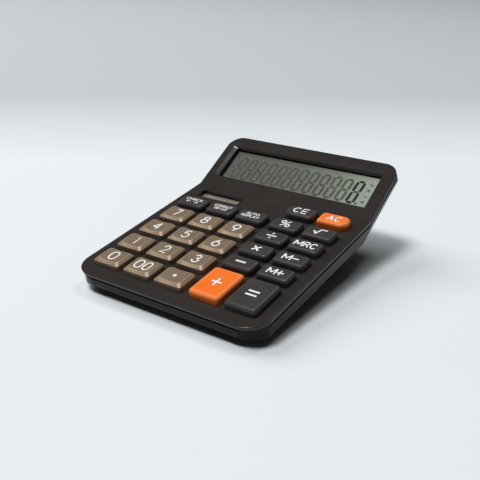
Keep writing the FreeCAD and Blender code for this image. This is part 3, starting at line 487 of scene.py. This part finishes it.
def roundedPlate(bm, width, length, leftRound, rightRound):
    before = set(bm.faces)
    corners = bmesh.ops.create_grid(bm, x_segments=1, y_segments=1, size=0.5)["verts"]
    bmesh.ops.scale(bm, vec=(width, length, 1), verts=corners)
    left = [v for v in corners if v.co.x < 0]
    right = [v for v in corners if v.co.x > 0]
    for pair, radius in ((left, leftRound), (right, rightRound)):
        bmesh.ops.bevel(bm, geom=pair, offset=radius, affect="VERTICES", segments=keyCap["cornerCuts"],
                        profile=0.5, material=-1)
    return next(face for face in bm.faces if face not in before)


def raiseFace(bm, face, height, keepBase=False):
    made = bmesh.ops.extrude_face_region(bm, geom=[face])["geom"]
    top = next(item for item in made if isinstance(item, bmesh.types.BMFace))
    bmesh.ops.translate(bm, vec=(0, 0, height), verts=top.verts)
    if not keepBase:
        bmesh.ops.delete(bm, geom=[face], context="FACES_ONLY")
    return top


def dishDepth(x, half):
    return keyCap["dish"] * max(0.0, 1 - (x / half) ** 2)


def edgesAt(bm, level):
    return [e for e in bm.edges if all(abs(v.co.z - level) < nearly for v in e.verts)]


def cutAcross(bm, half, cuts):
    for i in range(1, cuts):
        place = (half * (2 * i / cuts - 1), 0, 0)
        bmesh.ops.bisect_plane(bm, geom=everything(bm), dist=cutGap, plane_co=place, plane_no=across)


def addCone(bm, foot, head, tall, sides):
    bmesh.ops.create_cone(bm, cap_ends=True, segments=sides, radius1=foot, radius2=head, depth=tall,
                          matrix=Matrix.Translation((0, 0, tall / 2)))


def placeOnDeck(bm, low, high, level):
    # From the origin to the middle of a key's box, at a level out of the deck.
    place = placing(deckTurn, (low.x + high.x) / 2, (low.y + high.y) / 2, level)
    bmesh.ops.transform(bm, matrix=place, verts=bm.verts)


def rubEdges(bm, level, height):
    # Painted light: paler on the rounded edges and bevels above a level, not on the flat of the top.
    paintedEdgeLight = bm.verts.layers.float.new("paintedEdgeLight")
    for v in bm.verts:
        v[paintedEdgeLight] = 1.0 if v.co.z > level - nearly else 0.0
    flats = [f for f in bm.faces if f.calc_center_median().z > height - nearly]
    top = max(flats, key=lambda f: f.calc_area())
    bmesh.ops.inset_region(bm, faces=[top], thickness=keyCap["paintedLightInset"], use_even_offset=True)
    for v in top.verts:
        v[paintedEdgeLight] = 0.0


def shapeNumeral(bm, shoulder, width, length, height):
    # Leaning sides up to a smaller top that lies towards the back and is dished from side to side.
    level = height - keyCap["shoulderDrop"]
    half = width / 2 - keyCap["sideBevel"]
    plate = roundedPlate(bm, 2 * half, length - keyCap["frontBevel"] - keyCap["backBevel"],
                         keyCap["topCorner"], keyCap["topCorner"])
    setback = (keyCap["frontBevel"] - keyCap["backBevel"]) / 2
    bmesh.ops.translate(bm, vec=(0, setback, height), verts=plate.verts)
    rims = shoulder.edges[:] + plate.edges[:]
    bmesh.ops.delete(bm, geom=[shoulder], context="FACES_ONLY")
    bmesh.ops.bridge_loops(bm, edges=rims)
    roundOff(bm, edgesAt(bm, level), keyCap["shoulderRound"], keyCap["shoulderCuts"])
    roundOff(bm, edgesAt(bm, height), keyCap["rimRound"], keyCap["rimCuts"])
    rubEdges(bm, level, height)
    cutAcross(bm, half, keyCap["dishCuts"])
    for v in bm.verts:
        share = max(0.0, (v.co.z - level) / (height - level))
        v.co.z -= dishDepth(v.co.x, half) * share


def makeKey(node):
    # A cap with a flange under the deck, hollow from below, with a post in the middle.
    low, high = turnedBox(node, deckTurn)
    out = keyCap["flangeOut"]
    numeral = node in numerals
    width = high.x - low.x - 2 * out
    length = high.y - low.y - 2 * out
    height = high.z - low.z
    corner = keyCap["numeralCorner"] if numeral else keyCap["barCorner"]
    rounds = [keyCap["endRound"] if roundEnds.get(node) == side else corner for side in (-1, 1)]
    bm = bmesh.new()
    base = roundedPlate(bm, width + 2 * out, length + 2 * out, rounds[0] + out, rounds[1] + out)
    flange = raiseFace(bm, base, keyCap["flangeThick"], keepBase=True)
    bmesh.ops.inset_region(bm, faces=[flange], thickness=out, use_even_offset=True)
    wallTop = height - keyCap["shoulderDrop"] if numeral else height
    top = raiseFace(bm, flange, wallTop - keyCap["flangeThick"])
    bmesh.ops.inset_region(bm, faces=[base], thickness=out + keyCap["wall"], use_even_offset=True)
    raiseFace(bm, base, height - keyCap["roof"])
    if numeral:
        shapeNumeral(bm, top, width, length, height)
    else:
        roundOff(bm, edgesAt(bm, height), keyCap["barRound"], keyCap["barCuts"])
        rubEdges(bm, height - keyCap["barRound"] * keyCap["barPaintedLight"], height)
    addCone(bm, keyCap["post"], keyCap["post"], height - keyCap["roof"] + keyCap["postBite"], keyCap["postSides"])
    bmesh.ops.recalc_face_normals(bm, faces=bm.faces)
    shadeByAngle(bm, creaseAngle["key"])
    placeOnDeck(bm, low, high, low.z)
    finish = "keyTan" if numeral else "keyOrange" if node in orangeKeys else "keyDark"
    cap = addPiece(node + "_cap", bm, node, finish, node)
    cap.modifiers.new("evenOut", "WEIGHTED_NORMAL").keep_sharp = True


keyNodes = [name for name in nodes if name.startswith("key_")]
for node in keyNodes:
    makeKey(node)
print("key caps made:", len(keyNodes))

# Rubber keypad: a sheet, and under each key a dome

keypad = {
    "foot": 4.6, "head": 2.5, "tall": 2.8, "sides": 24, "headRound": 0.35, "headCuts": 3,
    "play": 0.2,  # from the dome up to the post at rest
    "skin": 0.02, "sink": 0.1,  # the sheet's top is trimmed by the one, and the domes reach into it by the other
    "keep": 0.49,  # share of a dome's height when its key is down
}


def makeSheet():
    # The CAD solid cut off level under its domes and closed again.
    bm = mergedCopy("rubber_keypad")
    top = turnedBox("rubber_keypad", deckTurn)[1].z - keypad["tall"] - keypad["skin"]
    bmesh.ops.bisect_plane(bm, geom=everything(bm), plane_co=deckOut * top * mm, plane_no=deckOut, clear_outer=True)
    rim = [edge for edge in bm.edges if edge.is_boundary]
    bmesh.ops.triangle_fill(bm, edges=rim, normal=deckOut, use_beauty=True)
    bmesh.ops.recalc_face_normals(bm, faces=bm.faces)
    addPiece("rubber_keypad_sheet", bm, "case", "keypadRubber", "rubber_keypad")


def makeDome(node):
    low, high = turnedBox(node, deckTurn)
    tall = keypad["tall"]
    foot = Vector(((low.x + high.x) / 2, (low.y + high.y) / 2, low.z - keypad["play"] - tall))
    bm = bmesh.new()
    addCone(bm, keypad["foot"], keypad["head"], tall, keypad["sides"])
    roundOff(bm, edgesAt(bm, tall), keypad["headRound"], keypad["headCuts"])
    under = [v for v in bm.verts if v.co.z < nearly]
    bmesh.ops.translate(bm, verts=under, vec=(0, 0, -keypad["sink"]))
    shadeByAngle(bm, creaseAngle["key"])
    placeOnDeck(bm, low, high, foot.z)
    dome = addPiece(node.replace("key_", "dome_"), bm, "case", "keypadRubber")
    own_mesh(dome)


makeSheet()
for node in keyNodes:
    makeDome(node)
print("rubber domes made:", len(keyNodes))

# Legends on the keys

legend = {
    "thick": 0.06, "lift": 0.15, "numeralShift": (-0.25, 0.75), "cuts": 14, "strokeSides": 1, "strokeCuts": 6,
    "wordGap": 3.6, "wordSize": 4.2, "wordBold": 0.06, "wordMerge": 1e-4,
}


def oval(x, y, wide, tall):
    return ("loop", [(x, y + tall), (x - wide, y), (x, y - tall), (x + wide, y)])


# Strokes of each sign in a box from -1 to 1: line has corners, soft and loop are curves.
six = [("line", [(0.2, 1), (-0.86, -0.05)]), oval(0, -0.36, 1, 0.64)]
signs = {
    "0": [("loop", [(0, 1), (-0.72, 0.84), (-1, 0.4), (-1, -0.4), (-0.72, -0.84),
                    (0, -1), (0.72, -0.84), (1, -0.4), (1, 0.4), (0.72, 0.84)])],
    "1": [("line", [(-1, 0.68), (1, 1), (1, -1)])],
    "2": [("soft", [(-0.95, 0.45), (0, 1), (0.9, 0.48), (0.45, -0.15)]),
          ("line", [(0.45, -0.15), (-1, -1), (1, -1)])],
    "3": [("soft", [(-0.85, 0.62), (0, 1), (0.8, 0.54), (0, 0.1)]),
          ("soft", [(0, 0.1), (1, -0.43), (0, -1), (-1, -0.5)])],
    "4": [("line", [(0.45, -1), (0.45, 1)]), ("line", [(0.52, 1), (-1, -0.4)]),
          ("line", [(-1, -0.4), (1, -0.4)])],
    "5": [("line", [(0.8, 1), (-0.6, 1), (-0.75, 0.12)]),
          ("soft", [(-0.75, 0.12), (0.1, 0.35), (1, -0.32), (0, -1), (-0.95, -0.6)])],
    "6": six,
    "7": [("line", [(-0.95, 1), (1.05, 1)]), ("line", [(0.95, 1), (-0.3, -1)])],
    "8": [oval(0, 0.52, 0.78, 0.46), oval(0, -0.46, 1, 0.53)],
    "9": [(kind, [(-x, -y) for x, y in points]) for kind, points in six],
    "C": [("soft", [(0.85, 0.62), (0.05, 1), (-1, 0), (0.05, -1), (0.85, -0.62)])],
    "E": [("line", [(1, 1), (-1, 1), (-1, -1), (1, -1)]), ("line", [(-1, 0), (0.8, 0)])],
    "A": [("line", [(-1, -1), (0.05, 1)]), ("line", [(-0.05, 1), (1, -1)]),
          ("line", [(-0.66, -0.35), (0.66, -0.35)])],
    "M": [("line", [(-1, -1), (-1, 1)]), ("line", [(-1, 1), (0.06, -0.6)]), ("line", [(-0.06, -0.6), (1, 1)]),
          ("line", [(1, 1), (1, -1)])],
    "R": [("line", [(-1, -1), (-1, 1), (0.2, 1)]), ("soft", [(0.2, 1), (0.95, 0.5), (0.2, 0)]),
          ("line", [(0.2, 0), (-1, 0)]), ("line", [(0.1, 0), (1, -1)])],
    "%": [oval(-0.62, 0.55, 0.38, 0.42), oval(0.62, -0.55, 0.38, 0.42),
          ("line", [(0.72, 1), (-0.72, -1)])],
    "root": [("line", [(-1, -0.15), (-0.66, 0.08)]), ("line", [(-0.74, 0.05), (-0.36, -1)]),
             ("line", [(-0.4, -1), (0.05, 1)]), ("line", [(-0.02, 1), (1, 1)])],
    "divide": [("line", [(-1, 0), (1, 0)]), oval(0, 0.9, 0.06, 0.06), oval(0, -0.9, 0.06, 0.06)],
    "times": [("line", [(-1, -1), (1, 1)]), ("line", [(-1, 1), (1, -1)])],
    "minus": [("line", [(-1, 0), (1, 0)])],
    "plus": [("line", [(-1, 0), (1, 0)]), ("line", [(0, -1), (0, 1)])],
    "equals": [("line", [(-1, 1), (1, 1)]), ("line", [(-1, -1), (1, -1)])],
    "point": [oval(0, 0, 1, 1)],
}
# On each key: the signs with their widths, the height, the stroke and the gap between signs, in mm.
keyLegends = {
    "key_00": ([("0", 5.7), ("0", 5.7)], 9.7, 1.3, 0.9), "key_0": ([("0", 6.3)], 9.7, 1.3, 0),
    "key_1": ([("1", 2.6)], 9.5, 1.35, 0), "key_point": ([("point", 2.8)], 2.8, 1.4, 0),
    "key_plus": ([("plus", 8.6)], 9.6, 1.8, 0), "key_minus": ([("minus", 9.3)], 1.8, 1.8, 0),
    "key_times": ([("times", 6.4)], 6.4, 1.6, 0), "key_divide": ([("divide", 8.8)], 7.8, 1.5, 0),
    "key_equals": ([("equals", 9.4)], 5.5, 1.8, 0), "key_percent": ([("%", 8.5)], 8.6, 1.25, 0),
    "key_root": ([("root", 10.2)], 7.5, 1.3, 0), "key_ce": ([("C", 5.6), ("E", 5.0)], 7.2, 1.25, 0.8),
    "key_ac": ([("A", 5.6), ("C", 4.9)], 7.2, 1.25, 0.3),
    "key_mrc": ([("M", 6.4), ("R", 4.6), ("C", 5.0)], 6.9, 1.25, 0.2),
    "key_m_minus": ([("M", 6.6), ("minus", 6.6)], 6.9, 1.25, -1.0),
    "key_m_plus": ([("M", 6.6), ("plus", 6.3)], 6.9, 1.25, -0.8),
}
for i in range(2, 10):
    keyLegends["key_%d" % i] = ([(str(i), 6.1)], 9.5, 1.3, 0)
squareSigns = ["plus", "minus"]  # as tall as wide when they stand beside a letter


def addCurve(bm, curve, flatten=1.0):
    # A curve made a mesh, with its thickness scaled.
    holder = addObject("legendCurve", curve)
    bpy.context.view_layer.update()
    mesh = bpy.data.meshes.new_from_object(holder.evaluated_get(bpy.context.evaluated_depsgraph_get()))
    bpy.data.objects.remove(holder)
    mesh.transform(Matrix.Scale(flatten, 4, (0, 0, 1)))
    bm.from_mesh(mesh)
    bpy.data.meshes.remove(mesh)


def moveInto(joined, bm):
    mesh = bpy.data.meshes.new("moved")
    bm.to_mesh(mesh)
    bm.free()
    joined.from_mesh(mesh)
    bpy.data.meshes.remove(mesh)


def drawSign(bm, sign, x, width, height, stroke):
    # One sign in strokes of an even width, each a little above the last, flattened to the thickness of print.
    curve = bpy.data.curves.new("legendStroke", "CURVE")
    curve.dimensions = "3D"
    curve.bevel_depth = stroke / 2
    curve.bevel_resolution = legend["strokeSides"]
    curve.resolution_u = legend["strokeCuts"]
    curve.use_fill_caps = True
    wide, tall = (width - stroke) / 2, (height - stroke) / 2
    for i, (kind, points) in enumerate(signs[sign]):
        spline = curve.splines.new("BEZIER")
        spline.bezier_points.add(len(points) - 1)
        spline.use_cyclic_u = kind == "loop"
        for knot, (px, py) in zip(spline.bezier_points, points):
            knot.co = (x + px * wide, py * tall, i * legend["lift"] * stroke)
            knot.handle_left_type = knot.handle_right_type = "VECTOR" if kind == "line" else "AUTO"
    addCurve(bm, curve, legend["thick"] / stroke)


def drawSigns(word, height, stroke, gap):
    bm = bmesh.new()
    x = -(sum(width for _, width in word) + gap * (len(word) - 1)) / 2
    for sign, width in word:
        tall = min(height, width) if sign in squareSigns and len(word) > 1 else height
        drawSign(bm, sign, x + width / 2, width, tall, stroke)
        x += width + gap
    return bm


def drawWord(word, width, y):
    # A word drawn to a width, with its middle at a height on the key.
    curve = bpy.data.curves.new("legendText", "FONT")
    curve.body = word
    curve.size = legend["wordSize"]
    curve.align_x = "CENTER"
    curve.offset = legend["wordBold"]
    curve.extrude = legend["thick"] / 2
    bm = bmesh.new()
    addCurve(bm, curve)
    bmesh.ops.remove_doubles(bm, verts=bm.verts, dist=legend["wordMerge"])
    xs = [v.co.x for v in bm.verts]
    ys = [v.co.y for v in bm.verts]
    bmesh.ops.translate(bm, vec=(-(min(xs) + max(xs)) / 2, -(min(ys) + max(ys)) / 2, 0), verts=bm.verts)
    bmesh.ops.scale(bm, vec=(width / (max(xs) - min(xs)), 1, 1), verts=bm.verts)
    bmesh.ops.translate(bm, vec=(0, y, 0), verts=bm.verts)
    return bm


def stackWords(lines):
    joined = bmesh.new()
    for i, (word, width) in enumerate(lines):
        moveInto(joined, drawWord(word, width, ((len(lines) - 1) / 2 - i) * legend["wordGap"]))
    return joined


def makeLegend(node, bm):
    # Laid on the top of its key, and into the dish of a numeral key.
    low, high = turnedBox(node, deckTurn)
    if node in numerals:
        bmesh.ops.translate(bm, vec=(*legend["numeralShift"], 0), verts=bm.verts)
        half = (high.x - low.x) / 2 - keyCap["flangeOut"] - keyCap["sideBevel"]
        cutAcross(bm, half, legend["cuts"])
        for v in bm.verts:
            v.co.z -= dishDepth(v.co.x, half)
    bmesh.ops.recalc_face_normals(bm, faces=bm.faces)
    placeOnDeck(bm, low, high, high.z)
    addPiece(node + "_legend", bm, node, "keyPrint")


# Words one under the other, each with its width in mm.
keyWords = {
    "key_check": [("CHECK", 15.0), ("← →", 10.5)],
    "key_correct": [("CORRECT", 15.0), ("00→0", 10.5)],
    "key_replay": [("AUTO", 10.8), ("REPLAY", 14.8)],
}
for node, spec in keyLegends.items():
    makeLegend(node, drawSigns(*spec))
for node, lines in keyWords.items():
    makeLegend(node, stackWords(lines))
print("legends made:", len(keyLegends) + len(keyWords))

# Display figures

figures = {
    "count": 12, "pitch": 9.14, "first": -51.5, "height": 22.2, "width": 7.3, "stroke": 2.1, "slant": 4.0,
    "gap": 0.3, "endCut": 0.48, "drop": 1.6, "lift": 0.02, "thick": 0.04, "markStroke": 0.7,
    "point": 1.6, "pointPlace": (53.3, -10.0), "pointSides": 16,
    "commaEvery": 3, "commaOver": 0.8, "commaUp": 13.6, "commaSize": (1.6, 0.9),
}
# Small marks in the margins: sign, place across and along from the figures' middle, width, height.
marginMarks = [
    ("divide", 57.6, 9.0, 3.6, 3.6), ("times", 57.6, 3.5, 3.0, 3.0), ("minus", 57.6, -2.5, 3.6, 0.7),
    ("plus", 57.6, -7.5, 3.6, 3.6), ("minus", -58.2, -0.5, 3.0, 0.7), ("E", -58.2, 11.0, 2.2, 3.0),
]


def addBar(bm, x, y, length, stroke, upright):
    made = bmesh.ops.create_grid(bm, x_segments=1, y_segments=1, size=0.5)["verts"]
    bmesh.ops.scale(bm, vec=(length, stroke, 1), verts=made)
    ends = bmesh.ops.bevel(bm, geom=made, offset=stroke * figures["endCut"], affect="VERTICES", segments=1,
                           profile=0.5, material=-1)["verts"]
    if upright:
        bmesh.ops.rotate(bm, matrix=Matrix.Rotation(math.pi / 2, 3, "Z"), verts=ends)
    bmesh.ops.translate(bm, vec=(x, y, 0), verts=ends)
    return ends


def addFigure(bm, x, bars):
    w = figures["width"] - figures["stroke"]
    h = (figures["height"] - figures["stroke"]) / 2
    gap = figures["gap"] * 2
    places = {"a": (0, h, w, False), "g": (0, 0, w, False), "d": (0, -h, w, False),
              "b": (w / 2, h / 2, h, True), "f": (-w / 2, h / 2, h, True),
              "c": (w / 2, -h / 2, h, True), "e": (-w / 2, -h / 2, h, True)}
    for bar in bars:
        px, py, length, upright = places[bar]
        for v in addBar(bm, px, py, length - gap, figures["stroke"], upright):
            v.co.x += x + v.co.y * math.tan(math.radians(figures["slant"]))


def thicken(bm):
    made = bmesh.ops.extrude_face_region(bm, geom=bm.faces[:])["geom"]
    raised = [item for item in made if isinstance(item, bmesh.types.BMVert)]
    bmesh.ops.translate(bm, vec=(0, 0, figures["thick"]), verts=raised)
    bmesh.ops.recalc_face_normals(bm, faces=bm.faces)


def placeFigures(name, bm, finish):
    glassTop = turnedBox("lcd_front_glass", headTurn)[1].z
    place = placing(headTurn, 0, displayMiddle - figures["drop"], glassTop + figures["lift"])
    bmesh.ops.transform(bm, matrix=place, verts=bm.verts)
    addPiece(name, bm, "case", finish)


ghost = bmesh.new()
lit = bmesh.new()
last = figures["count"] - 1
for i in range(figures["count"]):
    x = figures["first"] + i * figures["pitch"]
    addFigure(ghost, x, "g" if i == last else "abcdefg")
    if (i + 1) % figures["commaEvery"] == 0 and i != last:
        commaPlace = (x + figures["pitch"] / 2 + figures["commaOver"], figures["commaUp"])
        addBar(ghost, *commaPlace, *figures["commaSize"], False)
addFigure(lit, figures["first"] + last * figures["pitch"], "abcdef")
dot = bmesh.ops.create_circle(lit, cap_ends=True, segments=figures["pointSides"], radius=figures["point"] / 2)
bmesh.ops.translate(lit, vec=(*figures["pointPlace"], 0), verts=dot["verts"])
thicken(ghost)
thicken(lit)
marks = bmesh.new()
for sign, x, y, width, height in marginMarks:
    mark = bmesh.new()
    drawSign(mark, sign, x, width, height, figures["markStroke"])
    bmesh.ops.translate(mark, vec=(0, y, legend["thick"] / 2), verts=mark.verts)
    moveInto(marks, mark)
placeFigures("display_ghost_figures", ghost, "segmentGhost")
placeFigures("display_margin_marks", marks, "segmentGhost")
placeFigures("display_lit_figure", lit, "segmentLit")
print("display figures made:", figures["count"])

# Stage, lights and camera

stage = {
    # painted shade: the second floor colour darkens the floor away from the camera
    "reach": 6.0, "near": (0.79, 0.83, 0.856), "far": (0.545, 0.573, 0.597), "away": (-0.5733, 0.8194, 0),
    "turn": (0.255, 0.575), "mottle": 0.03, "mottleScale": 9, "gloss": 0.8, "specular": 0.2,
    "sky": (0.92, 0.96, 1.0), "skyStrength": 0.03,
}
# A soft lamp gives light but no mirrored patch on the glossy case.
lamps = {
    "frontTop": {"place": (-0.85, -1.2, 4.75), "size": 1.5, "watts": 150.0, "soft": False},
    "backTop": {"place": (0.45, 2.25, 4.4), "size": 1.0, "watts": 30.0, "soft": False},
    "left": {"place": (-3.4, 0.35, 3.2), "size": 3.0, "watts": 120.0, "soft": True},
}
lampAim = Vector((0, 0, 0.02))
camera = {"place": (0.25401, -0.36968, 0.21070), "turn": 34.978, "drop": 23.192, "lens": 53.016, "sensor": 36.0}


def makeFloor():
    # A pale floor with painted shade that darkens it away from the camera.
    bm = bmesh.new()
    bmesh.ops.create_grid(bm, x_segments=1, y_segments=1, size=stage["reach"])
    mesh = bpy.data.meshes.new("floor")
    bm.to_mesh(mesh)
    bm.free()
    material, tree, shader = newMaterial("floorPaper")
    vector = objectCoords(tree)
    # painted shade: 0 near the camera, 1 away from it
    paintedLightRamp = spread(tree, alongAxis(tree, vector, stage["away"]), *stage["turn"])
    mottle = noiseField(tree, vector, stage["mottleScale"])
    tone = mathNode(tree, "MULTIPLY_ADD", mottle, stage["mottle"], paintedLightRamp)
    colour = tones(tree, tone, "whole", (stage["near"], stage["far"]))
    tree.links.new(colour, shader.inputs["Base Color"])
    shader.inputs["Roughness"].default_value = stage["gloss"]
    shader.inputs["Specular IOR Level"].default_value = stage["specular"]
    mesh.materials.append(material)
    addObject("floor", mesh)


def makeWorld():
    world = bpy.data.worlds.new("studio")
    world.use_nodes = True
    sky = world.node_tree.nodes["Background"]
    sky.inputs["Color"].default_value = (*stage["sky"], 1)
    sky.inputs["Strength"].default_value = stage["skyStrength"]
    bpy.context.scene.world = world


def makeLamps():
    for name, spec in lamps.items():
        light = bpy.data.lights.new(name, "AREA")
        light.shape = "RECTANGLE"
        light.size = light.size_y = spec["size"]
        light.energy = spec["watts"]
        lamp = addObject(name, light)
        lamp.location = spec["place"]
        lamp.visible_glossy = not spec["soft"]
        lamp.rotation_euler = (lampAim - Vector(spec["place"])).to_track_quat("-Z", "Y").to_euler()


def makeCamera():
    lens = bpy.data.cameras.new("photoView")
    lens.lens = camera["lens"]
    lens.sensor_width = camera["sensor"]
    eye = addObject("photoView", lens)
    eye.location = camera["place"]
    eye.rotation_euler = (math.radians(90 - camera["drop"]), 0, math.radians(camera["turn"]))
    bpy.context.scene.camera = eye


makeFloor()
makeWorld()
makeLamps()
makeCamera()
bpy.context.scene.view_settings.view_transform = "Standard"
print("stage ready")
